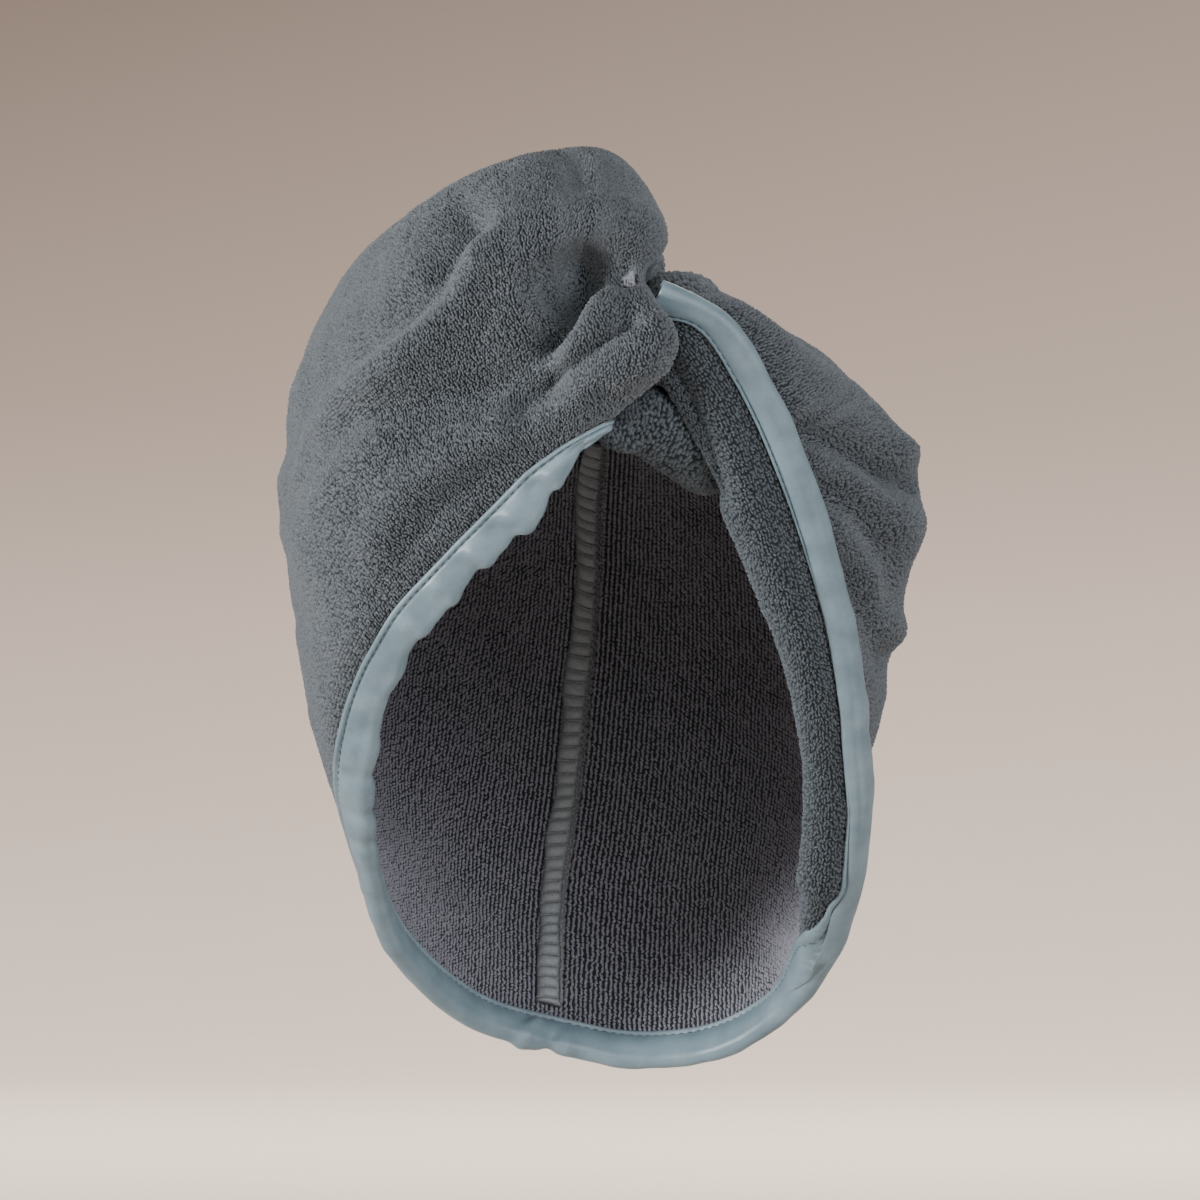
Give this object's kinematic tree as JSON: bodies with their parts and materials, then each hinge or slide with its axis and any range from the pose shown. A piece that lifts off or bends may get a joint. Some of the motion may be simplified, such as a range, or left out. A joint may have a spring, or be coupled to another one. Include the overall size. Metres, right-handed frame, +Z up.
{
  "type": "hair turban towel",
  "caption": "Terry towelling hair wrap worn as a twisted turban, with a satin-bound face opening, a puffed lobe, a turned-out lapel and a tail laid over the crown.",
  "frame": {"origin": "head seat: the top of the hollow, where the crown of the head rests", "axes": "+X to the right in the front view, +Y from the face opening to the back of the head, +Z up"},
  "size_m": [0.1933, 0.2637, 0.2766],
  "materials": {
    "left_terry": "cotton terry loops",
    "right_terry": "cotton terry loops",
    "satin_edge": "woven satin",
    "overlock_seam": "overlocked pile edge",
    "tail_terry": "cotton terry loops",
    "pleat_terry": "cotton terry loops in shade",
    "clasp_plastic": "moulded, dyed to match"
  },
  "bodies": {
    "root": {"left_panel": "left_terry", "right_panel": "right_terry", "edge_binding": "satin_edge", "back_seam": "overlock_seam", "tail": "tail_terry", "right_strand": "tail_terry", "inner_pleat": "pleat_terry", "inner_tuck": "pleat_terry", "nape_clasp": "clasp_plastic"}
  },
  "joints": []
}
